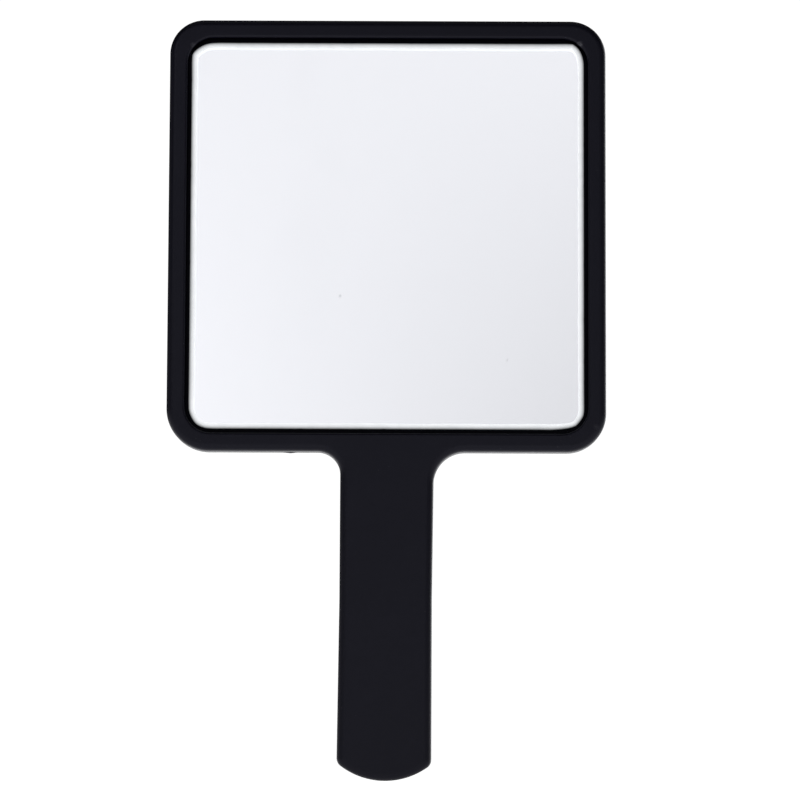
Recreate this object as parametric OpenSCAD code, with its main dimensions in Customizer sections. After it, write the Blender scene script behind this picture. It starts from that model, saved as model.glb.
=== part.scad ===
// Square salon hand mirror: a front-loaded glass in a two-shell moulded body.
// The outline is drawn in the XY plane, seen from the front: +X to the right, +Y up the
// mirror and +Z towards the viewer. place() then stands it up: +Z up, the glass facing -Y.
// The origin is the middle of the grip.

/* [Head] */
// Width of the head
head_w = 150; // [149:1:165]
// Height of the head
head_h = 149; // [148:1:165]
// Radius of the two upper corners
top_corner_r = 12; // [8:0.5:14]
// Radius of the two lower corners
bottom_corner_r = 14; // [8:0.5:16]

/* [Handle] */
// Width of the handle
handle_w = 31.4; // [28:0.2:36]
// Length of the handle below the head
handle_l = 111.4; // [95:0.1:130]
// Radius where the handle flares into the head
neck_r = 8.5; // [7:0.5:10]
// Radius of the shallow arc at the handle's end
end_arc_r = 25; // [22:0.5:32]
// How far the two corners of the handle's end are cut back
end_corner_cut = 0.3; // [0.1:0.05:0.35]

/* [Body] */
// Thickness over both shells
body_t = 10; // [10:0.5:14]
// Depth of the front shell, from its face to the parting line
front_depth = 6.2; // [6.2:0.1:6.6]
// Radius along the front outer edge
front_edge_r = 2.5; // [1.5:0.1:2.8]
// Radius along the back outer edge
back_edge_r = 2.5; // [1.5:0.1:2.8]
// Wall thickness of both shells
wall = 2; // [1.8:0.1:2.2]

/* [Glass] */
// Width of the glass
glass_w = 135; // [124:0.2:137]
// Height of the glass
glass_h = 133.8; // [124:0.2:136]
// Thickness of the glass
glass_t = 3; // [2:0.1:3]
// Gap between the glass and the wall of its recess
glass_gap = 1.3; // [0.8:0.1:2.2]
// Width of the ground arris round the front of the glass
arris_w = 1.8; // [0.6:0.1:2.2]
// Depth of the ground arris
arris_d = 0.8; // [0.4:0.1:1]

/* [Mounting tape] */
// Width of the foam tape strips
tape_w = 12; // [8:1:15]
// Thickness of the foam tape
tape_t = 0.8; // [0.6:0.1:0.9]
// Side of the square pad in the middle
tape_pad = 40; // [20:1:50]

/* [Hidden] */
$fn = 96;

shell_colour = [0.09, 0.09, 0.11];
glass_colour = [0.78, 0.86, 0.86, 0.5];
silver_colour = [0.90, 0.91, 0.93];
paint_colour = [0.45, 0.47, 0.48];
tape_colour = [0.93, 0.93, 0.90];

eps = 0.01;      // overlap where a cutter passes through a face
over = 1;        // how far a cutter passes beyond an open face

// Depths along Z, from the back face to the front face
front_z = body_t / 2;
back_z = -body_t / 2;
parting_z = front_z - front_depth;
rear_depth = body_t - front_depth;

// Heights along Y
low_y = -handle_l / 2;
head_y = handle_l / 2;
top_y = head_y + head_h;
mid_y = head_y + head_h / 2;

// Handle outline: the side meets the end arc, and a second, flatter arc takes the corner off
half_w = handle_w / 2;
arc_y = low_y + end_arc_r;
arc_drop = sqrt(end_arc_r * end_arc_r - half_w * half_w);
trim_drop = end_arc_r / 5;
trim_r = norm([half_w, arc_drop - trim_drop]) - end_corner_cut;
neck_x = half_w + neck_r;
neck_y = head_y - neck_r;

// Rim: the band along the outline that carries the rounded edge
head_band = min(top_corner_r, bottom_corner_r);
neck_band = 6;
neck_cut_r = neck_r + neck_band / 2;

// Stack behind the bezel
coat_t = 0.1;
tray_t = 1.5;
recess_z = parting_z + tray_t;
paint_z = recess_z + tape_t;
silver_z = paint_z + coat_t;
glass_z = silver_z + coat_t;
glass_front_z = glass_z + glass_t;

// Glass corner radii, anticlockwise from the lower left, and the band that carries the arris
glass_r = [7.4, 7, 5.6, 7.6];
glass_band = 2.6;

// Recess for the glass
recess_w = glass_w + 2 * glass_gap;
recess_h = glass_h + 2 * glass_gap;
recess_r = 7.5;
recess_wall = 1.6;
lip_chamfer = 0.9;

// Tongue, parting groove, ribs and pins
fit_gap = 0.1;
tongue_t = 1;
tongue_h = 1.5;
groove = 0.35;
rib_t = 1.2;
rib_start_z = parting_z + tongue_h + 0.3;
pin_r = 1.2;
pin_up = 3;
pin_gap = 0.05;
boss_r = 2.6;
boss_hole = 4;
pin_count = 3;
pin_pitch = 32;
handle_ribs = 4;
rib_low_y = arc_y - arc_drop;
head_rib_pitch = 28;
bezel_ribs = 5;
bezel_rib_pitch = 26;

// Gate mark on the lower side wall
gate_x = -32;
gate_w = 4.6;
gate_h = 0.35;
gate_r = (gate_w * gate_w / 4 + gate_h * gate_h) / (2 * gate_h);
gate_depth = 1.3;

// Tape layout
tape_inset = 7;
tape_clear = 6;

// Stands the drawing plane up, with the front towards -Y
module place() {
    rotate([90, 0, 0]) children();
}

// Draws its children and their mirror image across the middle
module both_sides() {
    children();
    mirror([1, 0, 0]) children();
}

// ---- Outline -------------------------------------------------------------

// Head outline, drawn d inside the real one
module head_2d(d) {
    translate([-head_w / 2 + d, head_y + bottom_corner_r])
        square([head_w - 2 * d, head_h - bottom_corner_r - top_corner_r]);
    translate([-head_w / 2 + bottom_corner_r, head_y + d])
        square([head_w - 2 * bottom_corner_r, bottom_corner_r - d]);
    translate([-head_w / 2 + top_corner_r, top_y - top_corner_r])
        square([head_w - 2 * top_corner_r, top_corner_r - d]);
    both_sides() {
        translate([head_w / 2 - bottom_corner_r, head_y + bottom_corner_r])
            circle(bottom_corner_r - d);
        translate([head_w / 2 - top_corner_r, top_y - top_corner_r])
            circle(top_corner_r - d);
    }
}

// Handle outline with its arched end, drawn d inside the real one and without the small
// end corners, which only the outer edge has
module handle_2d(d) {
    translate([-half_w + d, arc_y]) square([handle_w - 2 * d, neck_y - arc_y]);
    intersection() {
        translate([0, arc_y]) circle(end_arc_r - d);
        translate([-half_w + d, low_y]) square([handle_w - 2 * d, end_arc_r]);
    }
}

// Block between handle and head with a round bite of radius r on each side
module neck_2d(r) {
    difference() {
        translate([-neck_x, neck_y]) square([2 * neck_x, neck_r + head_band]);
        both_sides() translate([neck_x, neck_y]) circle(r);
    }
}

// Whole outline, drawn d inside the real one
module outline_2d(d) {
    head_2d(d);
    handle_2d(d);
    neck_2d(neck_r + d);
}

// Rectangle w by h with corner radius r, centred on the head
module head_panel_2d(w, h, r) {
    translate([-w / 2 + r, mid_y - h / 2]) square([w - 2 * r, h]);
    translate([-w / 2, mid_y - h / 2 + r]) square([w, h - 2 * r]);
    both_sides() {
        translate([w / 2 - r, mid_y - h / 2 + r]) circle(r);
        translate([w / 2 - r, mid_y + h / 2 - r]) circle(r);
    }
}

// ---- Blank with a rounded edge -------------------------------------------

// Section of the rim: x runs outwards to the outline at w, and y from the open side to the face
module rim_section(w, h, edge_r) {
    square([w - edge_r, h]);
    square([w, h - edge_r]);
    translate([w - edge_r, h - edge_r]) circle(edge_r);
}

// The same section turned round: x runs inwards from the outline
module inward_section(w, h, edge_r) {
    translate([w, 0]) mirror([1, 0]) rim_section(w, h, edge_r);
}

// Straight piece of rim from a point along a heading, with the material on its left
module rim_straight(from, heading, len, w, h, edge_r) {
    translate([from[0], from[1], 0])
        rotate([0, 0, heading])
            rotate([90, 0, 90])
                linear_extrude(len) inward_section(w, h, edge_r);
}

// Outer corner of the rim: a slice of a disc of radius r
module rim_corner(centre, start, sweep, r, h, edge_r) {
    translate([centre[0], centre[1], 0])
        rotate([0, 0, start])
            rotate_extrude(angle = sweep) rim_section(r, h, edge_r);
}

// Inner corner of the rim, round the bite between the handle and the head
module rim_neck(h, edge_r) {
    translate([neck_x, neck_y, 0])
        rotate([0, 0, 90])
            rotate_extrude(angle = 90)
                translate([neck_r, 0]) inward_section(neck_band, h, edge_r);
}

// Right half of the head's rim, from the neck up to the upper corner
module head_rim(h, edge_r) {
    side_x = head_w / 2;
    rim_neck(h, edge_r);
    rim_straight([neck_x, head_y], 0, side_x - bottom_corner_r - neck_x, head_band, h, edge_r);
    rim_corner([side_x - bottom_corner_r, head_y + bottom_corner_r], -90, 90,
        bottom_corner_r, h, edge_r);
    rim_straight([side_x, head_y + bottom_corner_r], 90,
        head_h - bottom_corner_r - top_corner_r, head_band, h, edge_r);
    rim_corner([side_x - top_corner_r, top_y - top_corner_r], 0, 90, top_corner_r, h, edge_r);
}

// Handle: a bar, with its lower part trimmed by the end arc and the corner arc
module handle_bar(h, edge_r) {
    both_sides() rim_straight([half_w, arc_y], 90, neck_y - arc_y, half_w, h, edge_r);
    intersection() {
        both_sides() rim_straight([half_w, low_y - over], 90, end_arc_r + over, half_w, h, edge_r);
        rim_corner([0, arc_y], 0, 360, end_arc_r, h, edge_r);
        rim_corner([0, arc_y - trim_drop], 0, 360, trim_r, h, edge_r);
    }
}

// Plate of the outline's shape, h thick, with its outer edge rounded at the top
module blank(h, edge_r) {
    both_sides() head_rim(h, edge_r);
    rim_straight([head_w / 2 - top_corner_r, top_y], 180, head_w - 2 * top_corner_r,
        head_band, h, edge_r);
    handle_bar(h, edge_r);
    linear_extrude(h) {
        translate([-head_w / 2 + head_band, head_y + head_band])
            square([head_w - 2 * head_band, head_h - 2 * head_band]);
        neck_2d(neck_cut_r);
    }
}

// ---- Front shell ---------------------------------------------------------

// Recess for the glass, with a small chamfer round its mouth
module glass_recess() {
    side_l = recess_h - 2 * recess_r;
    top_l = recess_w - 2 * recess_r;
    translate([0, 0, recess_z])
        linear_extrude(front_z - recess_z + over) head_panel_2d(recess_w, recess_h, recess_r);
    both_sides()
        translate([recess_w / 2, mid_y - side_l / 2, front_z])
            rotate([90, 0, 180]) linear_extrude(side_l) lip_2d();
    for (up = [0, 1])
        translate([0, mid_y, 0]) mirror([0, up, 0]) {
            translate([-top_l / 2, recess_h / 2, front_z])
                rotate([90, 0, 90]) linear_extrude(top_l) mirror([1, 0]) lip_2d();
            both_sides()
                translate([top_l / 2, recess_h / 2 - recess_r, front_z])
                    rotate_extrude(angle = 90)
                        translate([recess_r, 0]) mirror([1, 0]) lip_2d();
        }
}

// Section of the chamfer, reaching into the open recess and above the face
module lip_2d() {
    polygon([[over, -lip_chamfer], [0, -lip_chamfer], [-lip_chamfer, 0],
        [-lip_chamfer - eps, over], [over, over]]);
}

// Hollow behind the bezel and inside the handle, open at the parting line
module front_hollow() {
    translate([0, 0, parting_z - over])
        linear_extrude(front_depth - wall + over)
            difference() {
                outline_2d(wall);
                head_panel_2d(recess_w + 2 * recess_wall, recess_h + 2 * recess_wall,
                    recess_r + recess_wall);
            }
}

// Cross ribs in the handle's front half
module front_handle_ribs() {
    step = (neck_y - rib_low_y) / handle_ribs;
    for (i = [0 : handle_ribs - 1])
        translate([-half_w + wall / 2, rib_low_y + step * (i + 0.5) - rib_t / 2, rib_start_z])
            cube([handle_w - wall, rib_t, front_z - wall / 2 - rib_start_z]);
}

// Short ribs that tie the outer wall to the wall of the recess
module bezel_rib_set() {
    rib_h = front_z - wall / 2 - rib_start_z;
    side_l = (head_w - recess_w) / 2 - wall / 2;
    top_l = (head_h - recess_h) / 2 - wall / 2;
    for (i = [0 : bezel_ribs - 1]) {
        shift = (i - (bezel_ribs - 1) / 2) * bezel_rib_pitch;
        both_sides()
            translate([recess_w / 2 + recess_wall / 2, mid_y + shift - rib_t / 2, rib_start_z])
                cube([side_l - recess_wall / 2, rib_t, rib_h]);
        translate([shift - rib_t / 2, mid_y + recess_h / 2 + recess_wall / 2, rib_start_z])
            cube([rib_t, top_l - recess_wall / 2, rib_h]);
    }
}

// Places its children at every locating pin, along the middle of the handle
module at_pins() {
    for (i = [0 : pin_count - 1])
        translate([0, (i - (pin_count - 1) / 2) * pin_pitch, 0]) children();
}

// Low bump left by the mould's gate, on the head's lower side wall
module gate_mark() {
    translate([gate_x, head_y + gate_r - gate_h, parting_z])
        intersection() {
            cylinder(h = gate_depth, r = gate_r);
            translate([-gate_w / 2, -gate_r - over, 0])
                cube([gate_w, over + gate_h + wall / 2, gate_depth]);
        }
}

// Bezel, glass tray and the front half of the handle, in one moulding
module front_shell() {
    color(shell_colour) place() {
        difference() {
            union() {
                difference() {
                    translate([0, 0, parting_z]) blank(front_depth, front_edge_r);
                    front_hollow();
                }
                front_handle_ribs();
                bezel_rib_set();
                gate_mark();
                at_pins() translate([0, 0, parting_z])
                    cylinder(h = front_depth - wall / 2, r = boss_r);
            }
            glass_recess();
            at_pins() translate([0, 0, parting_z - over])
                cylinder(h = boss_hole + over, r = pin_r + pin_gap);
        }
    }
}

// ---- Rear cover ----------------------------------------------------------

// Grid of low ribs inside the back panel
module rear_ribs() {
    rib_h = rear_depth - wall / 2;
    span_w = head_w - wall;
    span_h = head_h - wall;
    step = (neck_y - rib_low_y) / handle_ribs;
    for (i = [-2 : 2]) {
        translate([i * head_rib_pitch - rib_t / 2, mid_y - span_h / 2, back_z + wall / 2])
            cube([rib_t, span_h, rib_h]);
        translate([-span_w / 2, mid_y + i * head_rib_pitch - rib_t / 2, back_z + wall / 2])
            cube([span_w, rib_t, rib_h]);
    }
    for (i = [0 : handle_ribs - 1])
        translate([-half_w + wall / 2, rib_low_y + step * (i + 0.5) - rib_t / 2, back_z + wall / 2])
            cube([handle_w - wall, rib_t, rib_h]);
}

// Tongue that fits inside the front shell's outer wall
module tongue() {
    inset = wall + fit_gap;
    translate([0, 0, back_z + wall / 2])
        linear_extrude(rear_depth - wall / 2 + tongue_h)
            difference() {
                outline_2d(inset);
                outline_2d(inset + tongue_t);
            }
}

// Back panel and the back half of the handle, in one moulding
module rear_cover() {
    color(shell_colour) place() {
        difference() {
            union() {
                translate([0, 0, parting_z - groove])
                    mirror([0, 0, 1]) blank(rear_depth - groove, back_edge_r);
                translate([0, 0, back_z + wall / 2])
                    linear_extrude(rear_depth - wall / 2) outline_2d(groove);
            }
            translate([0, 0, back_z + wall])
                linear_extrude(rear_depth - wall + over) outline_2d(wall);
        }
        rear_ribs();
        tongue();
        at_pins() translate([0, 0, back_z + wall / 2])
            cylinder(h = rear_depth - wall / 2 + pin_up, r = pin_r);
    }
}

// ---- Glass and its coats -------------------------------------------------

// Corners and sides are counted anticlockwise from the lower left
function corner_sign(i) = [i == 1 || i == 2 ? 1 : -1, i >= 2 ? 1 : -1];
function corner_at(i) = [corner_sign(i)[0] * glass_w / 2, mid_y + corner_sign(i)[1] * glass_h / 2];
function corner_centre(i) = corner_at(i) - glass_r[i] * corner_sign(i);
function heading(i) = [cos(90 * i), sin(90 * i)];
function side_length(i) =
    (i % 2 == 0 ? glass_w : glass_h) - glass_r[i] - glass_r[(i + 1) % 4];

// Three points of the notch that a rounded corner fills, with the sides drawn d inside
function notch(i, d) = let (
    c = corner_centre(i),
    reach = (glass_r[i] - d) * corner_sign(i),
    level = [c[0] + reach[0], c[1]],
    upright = [c[0], c[1] + reach[1]]
) i % 2 == 0 ? [level, c, upright] : [upright, c, level];

function notched(d) = [for (i = [0 : 3]) each notch(i, d)];

// Outline of the glass
module glass_2d() {
    polygon(notched(0));
    for (i = [0 : 3])
        translate(corner_centre(i)) circle(glass_r[i]);
}

// Section of the glass edge with its ground arris: x runs outwards to w
module arris_section(w) {
    polygon([[0, 0], [w, 0], [w, glass_t - arris_d], [w - arris_w, glass_t], [0, glass_t]]);
}

// Float glass with four rounded corners and a ground arris round its front
module mirror_glass() {
    color(glass_colour) place() translate([0, 0, glass_z]) {
        linear_extrude(glass_t) polygon(notched(glass_band));
        for (i = [0 : 3]) {
            translate(corner_centre(i))
                rotate([0, 0, 180 + 90 * i])
                    rotate_extrude(angle = 90) arris_section(glass_r[i]);
            translate(corner_at(i) + glass_r[i] * heading(i))
                rotate([0, 0, 90 * i])
                    rotate([90, 0, 90])
                        linear_extrude(side_length(i))
                            translate([glass_band, 0]) mirror([1, 0]) arris_section(glass_band);
        }
    }
}

// Silver layer, drawn far thicker than it is
module silver_coat() {
    color(silver_colour) place()
        translate([0, 0, silver_z]) linear_extrude(coat_t) glass_2d();
}

// Protective paint behind the silver, drawn thicker than it is
module backing_paint() {
    color(paint_colour) place()
        translate([0, 0, paint_z]) linear_extrude(coat_t) glass_2d();
}

// ---- Foam tape -----------------------------------------------------------

// Strip of tape centred at x, y on the tray floor
module tape(x, y, w, h) {
    color(tape_colour) place()
        translate([x - w / 2, mid_y + y - h / 2, recess_z]) cube([w, h, tape_t]);
}

across = glass_w - 2 * tape_inset;
down = glass_h - 2 * tape_inset - 2 * tape_w - 2 * tape_clear;
strip_x = glass_w / 2 - tape_inset - tape_w / 2;
strip_y = glass_h / 2 - tape_inset - tape_w / 2;

module tape_top() { tape(0, strip_y, across, tape_w); }

module tape_bottom() { tape(0, -strip_y, across, tape_w); }

module tape_left() { tape(-strip_x, 0, tape_w, down); }

module tape_right() { tape(strip_x, 0, tape_w, down); }

module tape_centre() { tape(0, 0, tape_pad, tape_pad); }

front_shell();
rear_cover();
mirror_glass();
silver_coat();
backing_paint();
tape_top();
tape_bottom();
tape_left();
tape_right();
tape_centre();
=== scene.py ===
"""Looks for the square salon hand mirror: moulded shells, ground glass, studio and camera.

Shapes are drawn in millimetres in the plane of the mirror, seen from the front: u to the
right, v up and w towards the viewer. place() turns that into the frame's metres, where +Z
is up and the glass faces -Y.
"""

import math
import random

import bmesh
import bpy
from mathutils import Matrix, Vector

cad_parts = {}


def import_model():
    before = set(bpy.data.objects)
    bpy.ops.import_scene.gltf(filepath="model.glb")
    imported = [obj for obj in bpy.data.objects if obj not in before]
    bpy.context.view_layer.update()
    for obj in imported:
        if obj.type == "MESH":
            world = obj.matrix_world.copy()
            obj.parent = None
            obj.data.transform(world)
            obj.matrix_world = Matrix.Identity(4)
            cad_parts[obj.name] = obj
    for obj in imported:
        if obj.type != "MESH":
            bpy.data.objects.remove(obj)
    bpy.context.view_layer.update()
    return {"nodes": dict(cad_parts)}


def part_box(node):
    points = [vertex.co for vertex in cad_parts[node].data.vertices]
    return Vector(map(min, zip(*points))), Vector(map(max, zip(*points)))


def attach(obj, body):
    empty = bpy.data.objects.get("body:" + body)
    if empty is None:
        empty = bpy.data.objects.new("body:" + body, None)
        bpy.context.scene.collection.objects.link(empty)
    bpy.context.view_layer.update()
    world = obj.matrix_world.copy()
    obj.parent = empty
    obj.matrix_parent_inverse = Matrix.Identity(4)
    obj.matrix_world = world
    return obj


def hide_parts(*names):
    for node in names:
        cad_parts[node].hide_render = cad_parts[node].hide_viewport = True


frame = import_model()
scene = bpy.context.scene

MM = 0.001
SAME_POINT = 0.02                    # ends of two arcs closer than this are one point

# ---- Sizes, most of them from the CAD nodes' boxes --------------------------

shell_low, shell_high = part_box("front_shell")
cover_low, cover_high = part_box("rear_cover")
glass_low, glass_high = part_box("mirror_glass")

FRONT = -shell_low.y / MM            # depth of the bezel's face
BACK = -cover_high.y / MM            # depth of the back face
PARTING = -shell_high.y / MM         # where the two shells meet
TOP = shell_high.z / MM
LOW = shell_low.z / MM
NECK = -LOW                          # the origin is the middle of the handle
HALF_HEAD = shell_high.x / MM
GLASS_FRONT = -glass_low.y / MM
GLASS_BACK = -glass_high.y / MM
GLASS_W = (glass_high.x - glass_low.x) / MM
GLASS_H = (glass_high.z - glass_low.z) / MM
GLASS_MID = (glass_high.z + glass_low.z) / 2 / MM

# The outline, which is a little uneven from left to right
LOW_LEFT_R, LOW_RIGHT_R = 14.6, 13.5     # corners of the head
TOP_RIGHT_R, TOP_LEFT_R = 12.2, 11.8
NECK_LEFT_R, NECK_RIGHT_R = 7.9, 10.8    # hollow arcs where the handle meets the head
NECK_LEFT, NECK_RIGHT = 15.6, 16.2       # half widths of the handle: at the neck,
WAIST_LEFT, WAIST_RIGHT = 15.65, 15.75   # at its waist
END_LEFT, END_RIGHT = 16.3, 15.7         # and at its lower end
WAIST_V = 5.5                            # height of the waist
END_R = 25.0                             # shallow arc at the handle's end
BLEND_R = 3.2                            # corners of the handle's end

# The shells
EDGE_R = 2.5                             # round along the front and back edges
WALL = 2.0
GROOVE = 0.35                            # depth and height of the groove at the parting line
BREAK = 0.12                             # small bevel of both shells at the parting line
TONGUE_GAP, TONGUE_T, TONGUE_H = 0.1, 1.0, 1.5
GATE_U, GATE_HALF, GATE_RISE = -32.0, 2.3, 0.35   # the gate's mark: place, half width and height
GATE_TOP, GATE_FADE = 1.2, 0.2           # how far it runs up from the parting line, and fades out

# The recess for the glass
TRAY = 1.5                               # thickness of its floor
RECESS_GAP = 1.3                         # clearance round the glass
RECESS_R = 9.0
RECESS_WALL = 1.6
LIP_R = 0.9                              # round at its mouth

# The glass and its coats
ARRIS_W, ARRIS_D = 1.9, 0.8              # width and depth of the ground front edge
ARRIS = [(1.0, 0.0), (0.70, 0.10), (0.42, 0.32), (0.20, 0.62)]   # its section, as shares of both
BACK_BEVEL, BACK_BEVEL_H = 0.2, 0.25
CLEAR_OF_SILVER = 0.02                   # air between the glass and the silver
COAT = 0.1
SILVER_INSET, PAINT_INSET = 0.25, 0.3    # how far each coat stays inside the glass's edge


def place(u, v, w):
    """Drawing plane to the frame, in metres."""
    return Vector((u * MM, -w * MM, v * MM))


# ---- Outlines: lists of (point, outward normal), anticlockwise from the front --


def arc(centre, r, start, stop, step=2.5):
    """Points of an arc in degrees. Where the angle falls, the arc is hollow, with normals to its centre."""
    count = max(2, math.ceil(abs(stop - start) / step))
    sign = 1 if stop > start else -1
    out = []
    for i in range(count + 1):
        a = math.radians(start + (stop - start) * i / count)
        n = Vector((math.cos(a), math.sin(a)))
        out.append((Vector(centre) + n * r, n * sign))
    return out


def line(a, b, step=3.0):
    """Inner points of a straight side, without its two ends."""
    run = b - a
    count = max(1, round(run.length / step))
    n = Vector((run.y, -run.x)).normalized()
    return [(a + run * (i / count), n) for i in range(1, count)]


def join(*parts):
    """One closed outline from arcs, with straight sides between their ends."""
    out = []
    for part, after in zip(parts, parts[1:] + parts[:1]):
        out += part
        if (after[0][0] - part[-1][0]).length > SAME_POINT:
            out += line(part[-1][0], after[0][0])
        else:
            out.pop()
    return out


def end_corner(half):
    """Centre of the small arc at the handle's end, and the angle where it meets the shallow arc."""
    u = half - BLEND_R
    drop = math.sqrt((END_R - BLEND_R) ** 2 - u * u)
    return u, LOW + END_R - drop, math.degrees(math.atan2(drop, u))


def body_outline():
    """The outline of both shells, from the handle's lower end. The handle is a little waisted."""
    left_u, left_v, left_turn = end_corner(END_LEFT)
    right_u, right_v, right_turn = end_corner(END_RIGHT)
    return join(
        arc((0, LOW + END_R), END_R, left_turn - 180, -right_turn),
        arc((right_u, right_v), BLEND_R, -right_turn, 0, 6),
        [(Vector((WAIST_RIGHT, WAIST_V)), Vector((1, 0)))],
        arc((NECK_RIGHT + NECK_RIGHT_R, NECK - NECK_RIGHT_R), NECK_RIGHT_R, 180, 90),
        arc((HALF_HEAD - LOW_RIGHT_R, NECK + LOW_RIGHT_R), LOW_RIGHT_R, -90, 0),
        arc((HALF_HEAD - TOP_RIGHT_R, TOP - TOP_RIGHT_R), TOP_RIGHT_R, 0, 90),
        arc((TOP_LEFT_R - HALF_HEAD, TOP - TOP_LEFT_R), TOP_LEFT_R, 90, 180),
        arc((LOW_LEFT_R - HALF_HEAD, NECK + LOW_LEFT_R), LOW_LEFT_R, 180, 270),
        arc((-NECK_LEFT - NECK_LEFT_R, NECK - NECK_LEFT_R), NECK_LEFT_R, 90, 0),
        [(Vector((-WAIST_LEFT, WAIST_V)), Vector((-1, 0)))],
        arc((-left_u, left_v), BLEND_R, 180, 180 + left_turn, 6),
    )


def panel_outline(half_u, half_v, r):
    """A rounded rectangle centred on the head."""
    u, low, high = half_u - r, GLASS_MID - half_v + r, GLASS_MID + half_v - r
    return join(
        arc((u, low), r, -90, 0, 9),
        arc((u, high), r, 0, 90, 9),
        arc((-u, high), r, 90, 180, 9),
        arc((-u, low), r, 180, 270, 9),
    )


def smooth_through(points, cuts):
    """Points on a Catmull-Rom curve through a closed list of points."""
    out, count = [], len(points)
    for i in range(count):
        p0, p1, p2, p3 = (points[(i + k - 1) % count] for k in range(4))
        for j in range(cuts):
            t = j / cuts
            out.append(0.5 * (2 * p1 + (p2 - p0) * t + (2 * p0 - 5 * p1 + 4 * p2 - p3) * t * t
                              + (3 * p1 - p0 - 3 * p2 + p3) * t ** 3))
    return out


def glass_outline():
    """The glass, cut and ground by hand: four uneven corners and sides that are not quite straight."""
    corners = [   # from the lower left, as distances along the level side and up the upright one
        [(0.05, 8.2), (0.25, 6.0), (1.15, 3.7), (2.7, 1.6), (5.0, 0.45), (7.8, 0.05)],
        [(10.9, 0.05), (6.1, 0.5), (3.3, 1.25), (1.9, 2.4), (0.5, 4.5), (0.05, 6.7)],
        [(0.05, 8.1), (0.4, 5.3), (1.5, 2.6), (3.2, 0.85), (4.9, 0.35)],
        [(9.3, 0.35), (5.6, 0.7), (2.8, 1.9), (0.55, 3.9), (0.05, 6.2)],
    ]
    signs = [(-1, -1), (1, -1), (1, 1), (-1, 1)]
    points = []
    for i, corner in enumerate(corners):
        su, sv = signs[i]
        points += [
            Vector((su * (GLASS_W / 2 - a), GLASS_MID + sv * (GLASS_H / 2 - b))) for a, b in corner
        ]
        nu, nv = signs[(i + 1) % 4]
        a, b = corners[(i + 1) % 4][0]
        goal = Vector((nu * (GLASS_W / 2 - a), GLASS_MID + nv * (GLASS_H / 2 - b)))
        points += [p for p, _ in line(points[-1], goal, 6.0)]
    curve = smooth_through(points, 5)
    count = len(curve)
    out = []
    for i, p in enumerate(curve):
        run = curve[(i + 1) % count] - curve[i - 1]
        out.append((p, Vector((run.y, -run.x)).normalized()))
    return out


# ---- Meshes from loops of points ---------------------------------------------


class Solid:
    """A closed mesh built from outlines: strips between loops, and flat faces inside or between them.

    Material slot 0 is the piece's main one, and slot 1 is its second.
    """

    def __init__(self, name):
        self.name = name
        self.bm = bmesh.new()

    def loop(self, outline, inset, w, shift=None):
        """A ring of vertices: the outline drawn inset by a distance, at a depth."""
        ring = []
        for i, (p, n) in enumerate(outline):
            q = p - n * (inset[i] if isinstance(inset, list) else inset)
            if shift:
                q = q + n * shift(p)
            ring.append(self.bm.verts.new(place(q.x, q.y, w)))
        return ring

    def strip(self, a, b, slot=0):
        for i in range(len(a)):
            j = (i + 1) % len(a)
            self.bm.faces.new((a[i], a[j], b[j], b[i])).material_index = slot

    def strips(self, rings, slot=0):
        for a, b in zip(rings, rings[1:]):
            self.strip(a, b, slot)

    def fill(self, *rings, slot=0):
        """A flat face inside one ring, or between an outer and an inner one."""
        self.bm.edges.index_update()
        edges = []
        for ring in rings:
            for i in range(len(ring)):
                pair = (ring[i], ring[(i + 1) % len(ring)])
                edges.append(self.bm.edges.get(pair) or self.bm.edges.new(pair))
        made = bmesh.ops.triangle_fill(self.bm, use_beauty=True, use_dissolve=False, edges=edges)
        for f in made["geom"]:
            if isinstance(f, bmesh.types.BMFace):
                f.material_index = slot

    def finish(self, materials, replaced, sharp=32):
        """Make the object. Edges turn sharp past an angle in degrees, and where two materials meet."""
        bm = self.bm
        bmesh.ops.recalc_face_normals(bm, faces=bm.faces[:])
        open_edges = sum(1 for e in bm.edges if len(e.link_faces) != 2)
        volume = bm.calc_volume(signed=True)
        print(f"{self.name}: {len(bm.faces)} faces, {open_edges} open edges, {volume * 1e9:.0f} mm3")
        for f in bm.faces:
            f.smooth = True
        for e in bm.edges:
            slots = {f.material_index for f in e.link_faces}
            if len(slots) > 1 or e.calc_face_angle(0) > math.radians(sharp):
                e.smooth = False
        mesh = bpy.data.meshes.new(self.name)
        bm.to_mesh(mesh)
        bm.free()
        obj = bpy.data.objects.new(self.name, mesh)
        scene.collection.objects.link(obj)
        for m in materials:
            mesh.materials.append(m)
        weighted = obj.modifiers.new("flat faces stay flat", "WEIGHTED_NORMAL")
        weighted.keep_sharp = True
        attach(obj, "root")
        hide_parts(replaced)


def fillet(r, depth, towards=1, steps=9):
    """(inset, depth) pairs round an outer edge, from the flat face at depth to the side wall."""
    out = []
    for i in range(steps + 1):
        a = math.radians(90 * i / steps)
        out.append((r - r * math.sin(a), depth - towards * (r - r * math.cos(a))))
    return out


def hollow_lip(r, depth, steps=6):
    """The same for the round at the mouth of a recess, counted from the flat face inwards."""
    out = []
    for i in range(steps + 1):
        a = math.radians(90 * i / steps)
        out.append((r * math.sin(a), depth - r + r * math.cos(a)))
    return out


# ---- Materials ---------------------------------------------------------------


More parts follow.
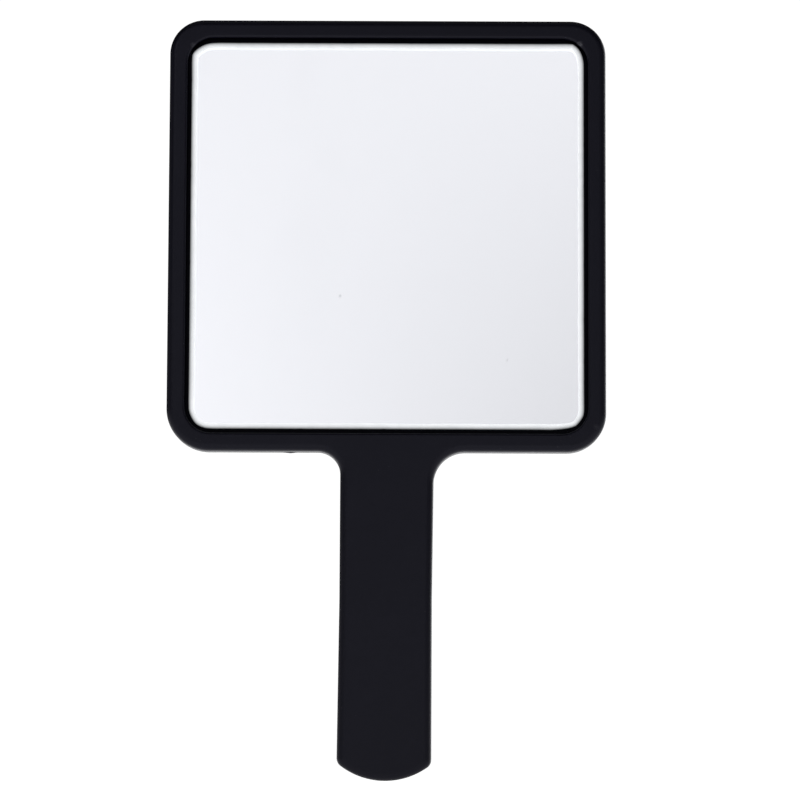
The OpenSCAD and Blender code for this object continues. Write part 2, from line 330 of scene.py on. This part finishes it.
class Tree:
    """Short names for building a node tree."""

    def __init__(self, tree):
        self.tree = tree
        tree.nodes.clear()

    def add(self, kind, **values):
        node = self.tree.nodes.new(kind)
        for key, value in values.items():
            setattr(node, key, value)
        return node

    def link(self, a, b):
        self.tree.links.new(a, b)

    def put(self, socket, value):
        if isinstance(value, bpy.types.NodeSocket):
            self.link(value, socket)
        else:
            socket.default_value = value

    def calc(self, kind, a, b=0.0):
        node = self.add("ShaderNodeMath", operation=kind)
        self.put(node.inputs[0], a)
        self.put(node.inputs[1], b)
        return node.outputs[0]

    def ramp(self, value, low, high, to_low=0.0, to_high=1.0, kind="LINEAR"):
        node = self.add("ShaderNodeMapRange", interpolation_type=kind)
        self.put(node.inputs["Value"], value)
        for key, v in (("From Min", low), ("From Max", high), ("To Min", to_low), ("To Max", to_high)):
            self.put(node.inputs[key], v)
        return node.outputs[0]


class Nodes(Tree):
    """A material with one Principled shader. Its textures lie in the object's own space, in metres."""

    def __init__(self, name):
        self.material = bpy.data.materials.new(name)
        self.material.use_nodes = True
        super().__init__(self.material.node_tree)
        out = self.add("ShaderNodeOutputMaterial")
        self.shader = self.add("ShaderNodeBsdfPrincipled")
        self.link(self.shader.outputs[0], out.inputs["Surface"])
        self.where = self.add("ShaderNodeTexCoord").outputs["Object"]

    def stretched(self, scale):
        node = self.add("ShaderNodeMapping")
        node.inputs["Scale"].default_value = scale
        self.link(self.where, node.inputs["Vector"])
        return node.outputs[0]

    def noise(self, per_metre, detail=2.0, rough=0.5, vector=None, distortion=0.0):
        node = self.add("ShaderNodeTexNoise")
        self.link(vector or self.where, node.inputs["Vector"])
        node.inputs["Scale"].default_value = per_metre
        node.inputs["Detail"].default_value = detail
        node.inputs["Roughness"].default_value = rough
        node.inputs["Distortion"].default_value = distortion
        return node.outputs["Fac"]

    def cells(self, per_metre):
        """Distance to the middle of the nearest cell."""
        node = self.add("ShaderNodeTexVoronoi")
        self.link(self.where, node.inputs["Vector"])
        node.inputs["Scale"].default_value = per_metre
        return node.outputs["Distance"]

    def colour(self, share, low, high):
        node = self.add("ShaderNodeMix", data_type="RGBA")
        self.put(node.inputs["Factor"], share)
        self.put(node.inputs["A"], low)
        self.put(node.inputs["B"], high)
        return node.outputs["Result"]

    def spot(self, centre, radius, soft=0.5):
        """1 inside a small patch round a point, and 0 outside."""
        node = self.add("ShaderNodeVectorMath", operation="DISTANCE")
        self.link(self.where, node.inputs[0])
        node.inputs[1].default_value = centre
        return self.ramp(node.outputs["Value"], radius * (1 + soft), radius * (1 - soft))

    def bump(self, height, distance, strength=1.0, normal=None):
        node = self.add("ShaderNodeBump")
        self.put(node.inputs["Height"], height)
        node.inputs["Distance"].default_value = distance
        node.inputs["Strength"].default_value = strength
        if normal:
            self.link(normal, node.inputs["Normal"])
        return node.outputs[0]

    def set(self, **values):
        for key, value in values.items():
            self.put(self.shader.inputs[key.replace("_", " ")], value)


def rgb(r, g, b):
    """A linear colour with no transparency."""
    return (r, g, b, 1.0)


def moulded_plastic(name, gloss):
    """Matt black plastic with a fine spark-eroded texture, handling shine, a little dust and three painted
    glints at the corners of the recess's lip.
    """
    m = Nodes(name)
    broad = m.noise(22, 3, 0.55)
    grain = m.noise(2600, 2, 0.6)
    coarse = m.noise(900, 2, 0.5)
    rub = m.ramp(m.noise(55, 5, 0.62, distortion=0.4), 0.50, 0.72)
    dust = m.ramp(m.cells(420), 0.075, 0.03)
    rare = m.ramp(m.noise(95, 1), 0.60, 0.66)
    speck = m.calc("MULTIPLY", dust, rare)
    painted_glints = [   # painted glints at the corners of the recess's lip: where each is on the bezel, its radius and how strongly it shows
        ((0.0660, 0.1963), 0.0009, 1.6),
        ((-0.0670, 0.1956), 0.0008, 0.7),
        ((0.0714, 0.0643), 0.0008, 0.35),
    ]
    glint = 0.0
    for (x, z), size, share in painted_glints:
        patch = m.calc("MULTIPLY", m.spot((x, 0.0003 - FRONT * MM, z), size), share)
        glint = m.calc("ADD", glint, patch)
    glint = m.calc("MULTIPLY", glint, m.ramp(grain, 0.35, 0.6))
    base = m.colour(broad, rgb(0.0010, 0.0010, 0.0034), rgb(0.0024, 0.0022, 0.0064))
    base = m.colour(m.calc("MULTIPLY", grain, 0.3), base, rgb(0.0042, 0.0042, 0.0096))
    base = m.colour(m.calc("MULTIPLY", speck, 0.16), base, rgb(0.20, 0.20, 0.21))
    # The glints are painted highlights: a light grey mixed into the base colour at the three spots, broken
    # up by the grain.
    base = m.colour(m.calc("MULTIPLY", glint, 0.25), base, rgb(0.22, 0.22, 0.24))
    rough = m.ramp(grain, 0.3, 0.7, 0.37, 0.44)
    rough = m.calc("SUBTRACT", rough, m.calc("MULTIPLY", rub, 0.05))
    waves = m.bump(broad, 0.00012, 0.5)
    texture = m.bump(m.calc("ADD", grain, m.calc("MULTIPLY", coarse, 0.7)), 0.00003, 0.55, waves)
    m.set(Base_Color=base, Roughness=rough, Normal=texture)
    m.shader.inputs["Specular IOR Level"].default_value = gloss
    m.shader.inputs["Specular Tint"].default_value = rgb(0.84, 0.84, 1.0)
    return m.material


def clear_glass():
    """Polished float glass, faintly green, with a trace of smears and two specks of dust."""
    m = Nodes("clear_glass")
    smear = m.ramp(m.noise(30, 4, 0.6, m.stretched((1, 1, 0.4)), 0.6), 0.55, 0.8)
    tint = m.colour(smear, rgb(0.988, 0.992, 0.992), rgb(0.976, 0.98, 0.98))
    for x, z, size in ((-0.0160, 0.1092, 0.00035), (0.0412, 0.0873, 0.00022)):
        speck = m.spot((x, -GLASS_FRONT * MM, z), size, 0.8)
        tint = m.colour(m.calc("MULTIPLY", speck, 0.5), tint, rgb(0.42, 0.43, 0.45))
    m.set(Base_Color=tint, Roughness=m.ramp(smear, 0, 1, 0.0, 0.012), IOR=1.52)
    m.shader.inputs["Transmission Weight"].default_value = 1.0
    return m.material


def ground_glass():
    """The arris and side of the glass as the grinding wheel leaves them: rough, finely chipped and white.

    Its white darkens with depth as painted shade, and a faint painted glow, stronger on faces seen from
    inside the glass, stands in for the light that the glass carries to its edge.
    """
    m = Nodes("ground_glass")
    chips = m.cells(1500)
    fine = m.noise(3800, 3, 0.7)
    tone = m.ramp(m.noise(260, 3), 0.35, 0.7)
    split = m.add("ShaderNodeSeparateXYZ")
    m.link(m.where, split.inputs[0])
    deep, shallow = (ARRIS_D * 1.15 - GLASS_FRONT) * MM, (0.02 - GLASS_FRONT) * MM
    # Painted light by depth: 1 at the front and 0 deep in the recess. It darkens the white as painted shade
    # and sets the painted glow.
    painted_light_by_depth = m.ramp(split.outputs["Y"], deep, shallow)
    base = m.colour(tone, rgb(0.70, 0.72, 0.725), rgb(0.82, 0.835, 0.84))
    base = m.colour(m.calc("POWER", painted_light_by_depth, 1.4), rgb(0.03, 0.034, 0.035), base)
    m.set(
        Base_Color=base,
        Roughness=m.ramp(fine, 0.3, 0.7, 0.38, 0.6),
        Normal=m.bump(m.calc("ADD", chips, fine), 0.00006, 0.6),
        IOR=1.5,
    )
    # Painted glow: emission that follows the depth on faces seen from outside, and is stronger on faces
    # seen from inside the glass.
    inside = m.add("ShaderNodeNewGeometry").outputs["Backfacing"]
    m.shader.inputs["Emission Color"].default_value = rgb(0.95, 0.97, 1.0)
    m.put(m.shader.inputs["Emission Strength"], m.ramp(inside, 0, 1, m.calc("MULTIPLY", painted_light_by_depth, 0.50), 0.80))
    return m.material


def silvering():
    """Silver seen through the glass: almost perfect, and very faintly clouded."""
    m = Nodes("silvering")
    cloud = m.noise(14, 3, 0.5)
    base = m.colour(cloud, rgb(0.955, 0.958, 0.962), rgb(0.968, 0.97, 0.972))
    m.set(Base_Color=base, Metallic=1.0, Roughness=m.ramp(cloud, 0.3, 0.7, 0.004, 0.014))
    return m.material


def back_paint():
    """Grey protective paint with the orange peel of a curtain coater."""
    m = Nodes("back_paint")
    peel = m.noise(420, 2, 0.45)
    base = m.colour(m.noise(40, 3), rgb(0.17, 0.185, 0.19), rgb(0.21, 0.225, 0.23))
    m.set(Base_Color=base, Roughness=m.ramp(peel, 0.3, 0.7, 0.34, 0.48), Normal=m.bump(peel, 0.00008, 0.5))
    return m.material


def foam_tape():
    """White closed-cell foam: small round pores, faintly yellowed."""
    m = Nodes("foam_tape")
    pores = m.ramp(m.cells(1900), 0.05, 0.55)
    tone = m.noise(60, 3)
    base = m.colour(tone, rgb(0.80, 0.79, 0.74), rgb(0.88, 0.875, 0.84))
    base = m.colour(m.ramp(pores, 0.0, 0.4, 0.35, 0.0), base, rgb(0.55, 0.54, 0.5))
    m.set(Base_Color=base, Roughness=m.ramp(tone, 0.3, 0.7, 0.75, 0.9), Normal=m.bump(pores, 0.0001, 0.8))
    return m.material


PLASTIC = moulded_plastic("moulded_plastic", 0.22)
# A copy of the plastic with much less gloss, for the recess's wall and floor: painted shade that keeps the
# deep gap round the glass dark.
RECESS_SHADE_PLASTIC = moulded_plastic("recess_painted_shade", 0.06)
CLEAR = clear_glass()
GROUND = ground_glass()
SILVER = silvering()
BACK_PAINT = back_paint()
FOAM = foam_tape()

# ---- Pieces --------------------------------------------------------------------

BODY = body_outline()
RECESS_U = GLASS_W / 2 + RECESS_GAP
RECESS_V = GLASS_H / 2 + RECESS_GAP
RECESS = panel_outline(RECESS_U, RECESS_V, RECESS_R)
TRAY_WALL = panel_outline(RECESS_U + RECESS_WALL, RECESS_V + RECESS_WALL, RECESS_R + RECESS_WALL)


def front_shell():
    """Bezel, glass tray and the front half of the handle."""
    s = Solid("front_moulding")
    ceiling = FRONT - WALL

    def gate(p):
        """The low bump that the mould's gate leaves under the head."""
        off = (p.x - GATE_U) / GATE_HALF
        near = abs(p.y - NECK) < 0.1 and abs(off) < 1
        return GATE_RISE * (1 - off * off) if near else 0.0

    outer = [s.loop(BODY, d, w) for d, w in fillet(EDGE_R, FRONT)]
    outer += [
        s.loop(BODY, 0, PARTING + GATE_TOP + GATE_FADE),
        s.loop(BODY, 0, PARTING + GATE_TOP, gate),
        s.loop(BODY, 0, PARTING + BREAK, gate),
        s.loop(BODY, BREAK, PARTING),
        s.loop(BODY, WALL, PARTING),
        s.loop(BODY, WALL, ceiling),
    ]
    s.strips(outer)
    mouth = [s.loop(RECESS, d - LIP_R, w) for d, w in hollow_lip(LIP_R, FRONT)]
    mouth.append(s.loop(RECESS, 0, PARTING + TRAY))
    s.strips(mouth[:-1])
    # Slot 1, the recess's wall and floor, takes the less glossy copy of the plastic as painted shade.
    s.strip(mouth[-2], mouth[-1], slot=1)
    tray = [s.loop(TRAY_WALL, 0, ceiling), s.loop(TRAY_WALL, 0, PARTING)]
    s.strips(tray)
    s.fill(outer[0], mouth[0])
    s.fill(mouth[-1], slot=1)
    s.fill(outer[-1], tray[0])
    s.fill(tray[-1])
    s.finish([PLASTIC, RECESS_SHADE_PLASTIC], "front_shell")


def rear_cover():
    """Back panel and the back half of the handle, with the tongue that sits inside the front shell."""
    s = Solid("rear_moulding")
    ledge = PARTING - GROOVE
    tongue = WALL + TONGUE_GAP
    rings = [s.loop(BODY, d, w) for d, w in fillet(EDGE_R, BACK, towards=-1)]
    rings += [
        s.loop(BODY, 0, ledge - BREAK),
        s.loop(BODY, BREAK, ledge),
        s.loop(BODY, GROOVE, ledge),
        s.loop(BODY, GROOVE, PARTING),
        s.loop(BODY, tongue, PARTING),
        s.loop(BODY, tongue, PARTING + TONGUE_H),
        s.loop(BODY, tongue + TONGUE_T, PARTING + TONGUE_H),
        s.loop(BODY, tongue + TONGUE_T, BACK + WALL),
    ]
    s.strips(rings)
    s.fill(rings[0])
    s.fill(rings[-1])
    s.finish([PLASTIC], "rear_cover")


GLASS_EDGE = glass_outline()


def glass_plate():
    """The glass: clear front and back, and a ground arris and side."""
    s = Solid("glass_plate")
    draw = random.Random(7)
    count = len(GLASS_EDGE)
    # The arris's width wanders slowly, with a fine tremble, and a chip here and there cuts its lower edge
    raw = [draw.uniform(-1, 1) for _ in range(count)]
    slow = [sum(raw[(i + k) % count] for k in range(-6, 7)) / 13 for i in range(count)]
    width = [ARRIS_W + 0.30 * slow[i] + 0.035 * raw[i] for i in range(count)]
    chip = [max(0.0, raw[i] - 0.8) * 0.35 for i in range(count)]
    back = GLASS_BACK + CLEAR_OF_SILVER
    rings = []
    for inward, down in ARRIS:
        rings.append(s.loop(GLASS_EDGE, [inward * x for x in width], GLASS_FRONT - down * ARRIS_D))
    rings += [
        s.loop(GLASS_EDGE, [0.07 + c for c in chip], GLASS_FRONT - 0.95 * ARRIS_D),
        s.loop(GLASS_EDGE, 0.0, GLASS_FRONT - 1.3 * ARRIS_D),
        s.loop(GLASS_EDGE, 0.0, back + BACK_BEVEL_H),
        s.loop(GLASS_EDGE, BACK_BEVEL, back),
    ]
    s.strips(rings, slot=1)
    s.fill(rings[0], slot=0)
    s.fill(rings[-1], slot=0)
    s.finish([CLEAR, GROUND], "mirror_glass", sharp=24)


def coat_plate(name, w, inset, material, replaced):
    """One of the two coats behind the glass."""
    s = Solid(name)
    rings = [s.loop(GLASS_EDGE, inset, w), s.loop(GLASS_EDGE, inset, w - COAT)]
    s.strips(rings)
    s.fill(rings[0])
    s.fill(rings[1])
    s.finish([material], replaced)


front_shell()
rear_cover()
glass_plate()
coat_plate("silver_layer", GLASS_BACK, SILVER_INSET, SILVER, "silver_coat")
coat_plate("paint_layer", GLASS_BACK - COAT, PAINT_INSET, BACK_PAINT, "backing_paint")

for name, node in frame["nodes"].items():
    if name.startswith("tape_"):
        node.data.materials.clear()
        node.data.materials.append(FOAM)

# ---- Studio, in metres -----------------------------------------------------------

FLOOR_R = 2.4
FLOOR_Z = LOW * MM - 0.04


def floor():
    """A pale floor a little below the handle: a wide disc whose surface glows like a light table, with a
    soft painted shadow under the mirror.
    """
    bm = bmesh.new()
    bmesh.ops.create_circle(bm, cap_ends=True, segments=96, radius=FLOOR_R)
    mesh = bpy.data.meshes.new("floor")
    bm.to_mesh(mesh)
    bm.free()
    obj = bpy.data.objects.new("floor", mesh)
    obj.location.z = FLOOR_Z
    scene.collection.objects.link(obj)
    m = Nodes("floor_paper")
    tone = m.noise(3, 2)
    m.set(Base_Color=m.colour(tone, rgb(0.80, 0.80, 0.81), rgb(0.84, 0.84, 0.84)), Roughness=0.9)
    m.shader.inputs["Emission Color"].default_value = rgb(1, 1, 1)
    out = m.add("ShaderNodeVectorMath", operation="LENGTH")
    m.link(m.where, out.inputs[0])
    wide = m.ramp(out.outputs["Value"], 0.2, 1.4, 0.72, 1.0)
    # Painted shadow: the glow drops to about three quarters within 0.18 m of the middle, under the mirror.
    shade = m.ramp(out.outputs["Value"], 0.02, 0.18, 0.74, 1.0)
    m.put(m.shader.inputs["Emission Strength"], m.calc("MULTIPLY", wide, shade))
    mesh.materials.append(m.material)


def world():
    """White where the camera looks, and a studio for reflections: dim at the sides and bright in front."""
    studio = bpy.data.worlds.new("studio")
    scene.world = studio
    studio.use_nodes = True
    t = Tree(studio.node_tree)
    parts = t.add("ShaderNodeSeparateXYZ")
    t.link(t.add("ShaderNodeTexCoord").outputs["Generated"], parts.inputs[0])
    x, y, z = parts.outputs

    def span(value, low, high, to_low, to_high):
        return t.ramp(value, low, high, to_low, to_high, "SMOOTHSTEP")

    def clamped(value, low, high):
        return t.calc("MINIMUM", t.calc("MAXIMUM", value, low), high)

    # Dim sides: a narrow card at the left and right, and light from behind that falls off to the left
    cards = span(t.calc("ABSOLUTE", x), 0.80, 0.95, 0.03, 0.17)
    lee = span(t.calc("SUBTRACT", x, t.calc("MULTIPLY", z, 0.5)), -0.1, 0.6, 0.02, 0.55)
    side = t.calc("ADD", cards, t.calc("MULTIPLY", span(y, 0.1, 0.5, 0.0, 1.0), lee))

    # The bright card that the glass reflects: darker to the right, and there darkest at the bottom
    across = clamped(x, -0.07, 0.07)
    rise = clamped(t.calc("SUBTRACT", z, 0.15), -0.08, 0.08)
    slope = t.calc("MULTIPLY", rise, t.calc("ADD", 0.5, t.calc("MULTIPLY", across, 14.0)))
    front = t.calc("ADD", t.calc("SUBTRACT", 0.95, t.calc("MULTIPLY", across, 0.88)), slope)

    # How nearly a direction faces the card's middle, which is a little above square on
    facing = t.calc("SUBTRACT", t.calc("MULTIPLY", z, 0.15), t.calc("MULTIPLY", y, 0.989))
    card = span(facing, 0.966, 0.984, 0.0, 1.0)
    around = t.calc("MULTIPLY", side, t.calc("SUBTRACT", 1.0, card))
    level = t.calc("ADD", around, t.calc("MULTIPLY", front, card))

    reflected = t.add("ShaderNodeBackground")
    reflected.inputs["Color"].default_value = rgb(0.955, 0.955, 1.0)
    t.link(level, reflected.inputs["Strength"])
    seen = t.add("ShaderNodeBackground")
    seen.inputs["Color"].default_value = rgb(1, 1, 1)
    seen.inputs["Strength"].default_value = 1.05
    mix = t.add("ShaderNodeMixShader")
    t.link(t.add("ShaderNodeLightPath").outputs["Is Camera Ray"], mix.inputs[0])
    t.link(reflected.outputs[0], mix.inputs[1])
    t.link(seen.outputs[0], mix.inputs[2])
    t.link(mix.outputs[0], t.add("ShaderNodeOutputWorld").inputs["Surface"])


def softbox(name, at, aim, width, height, watts):
    """A soft light aimed at a point, which the camera doesn't see."""
    data = bpy.data.lights.new(name, "AREA")
    data.shape = "RECTANGLE"
    data.size, data.size_y = width, height
    data.energy = watts
    obj = bpy.data.objects.new(name, data)
    obj.location = at
    obj.rotation_euler = (Vector(aim) - Vector(at)).to_track_quat("-Z", "Y").to_euler()
    obj.visible_camera = False
    scene.collection.objects.link(obj)


def camera():
    """At the photo's viewing angle: close to square on, a little low, with a long lens."""
    pitch, yaw, roll = (math.radians(a) for a in (5.28, -0.11, -0.23))
    away, across, up = 1.0995, -0.00442, 0.05627   # the head's middle, as the camera sees it
    turn = (
        Matrix.Rotation(-roll, 3, "Y")
        @ Matrix.Rotation(-pitch, 3, "X")
        @ Matrix.Rotation(yaw, 3, "Z")
    )
    head = Vector((0, 0, GLASS_MID * MM))
    back = turn.transposed()
    right, forward, rise = (back @ Vector(a) for a in ((1, 0, 0), (0, 1, 0), (0, 0, 1)))
    data = bpy.data.cameras.new("camera")
    data.lens = 144.0
    data.sensor_width = 36.0
    data.clip_start, data.clip_end = 0.05, 50
    obj = bpy.data.objects.new("camera", data)
    scene.collection.objects.link(obj)
    place_at = head - back @ Vector((across, away, up))
    axes = Matrix((right, rise, -forward)).transposed().to_4x4()
    obj.matrix_world = Matrix.Translation(place_at) @ axes
    scene.camera = obj


floor()
world()
softbox("key", (-0.75, -1.2, 0.7), (0, 0, 0.15), 0.6, 0.8, 1.9)
softbox("fill", (0.8, -1.2, 0.6), (0, 0, 0.15), 0.6, 0.8, 0.6)
softbox("top", (0.0, -0.1, 1.3), (0, 0, 0), 1.2, 1.0, 0.8)
softbox("under", (0.0, 0.5, FLOOR_Z + 0.01), (0.0, 0.5, 1.0), 0.9, 0.9, 2.2)
softbox("back", (0.9, 1.0, 0.35), (0, 0, 0.1), 0.8, 0.8, 6)
camera()
scene.view_settings.view_transform = "Standard"
scene.view_settings.look = "None"
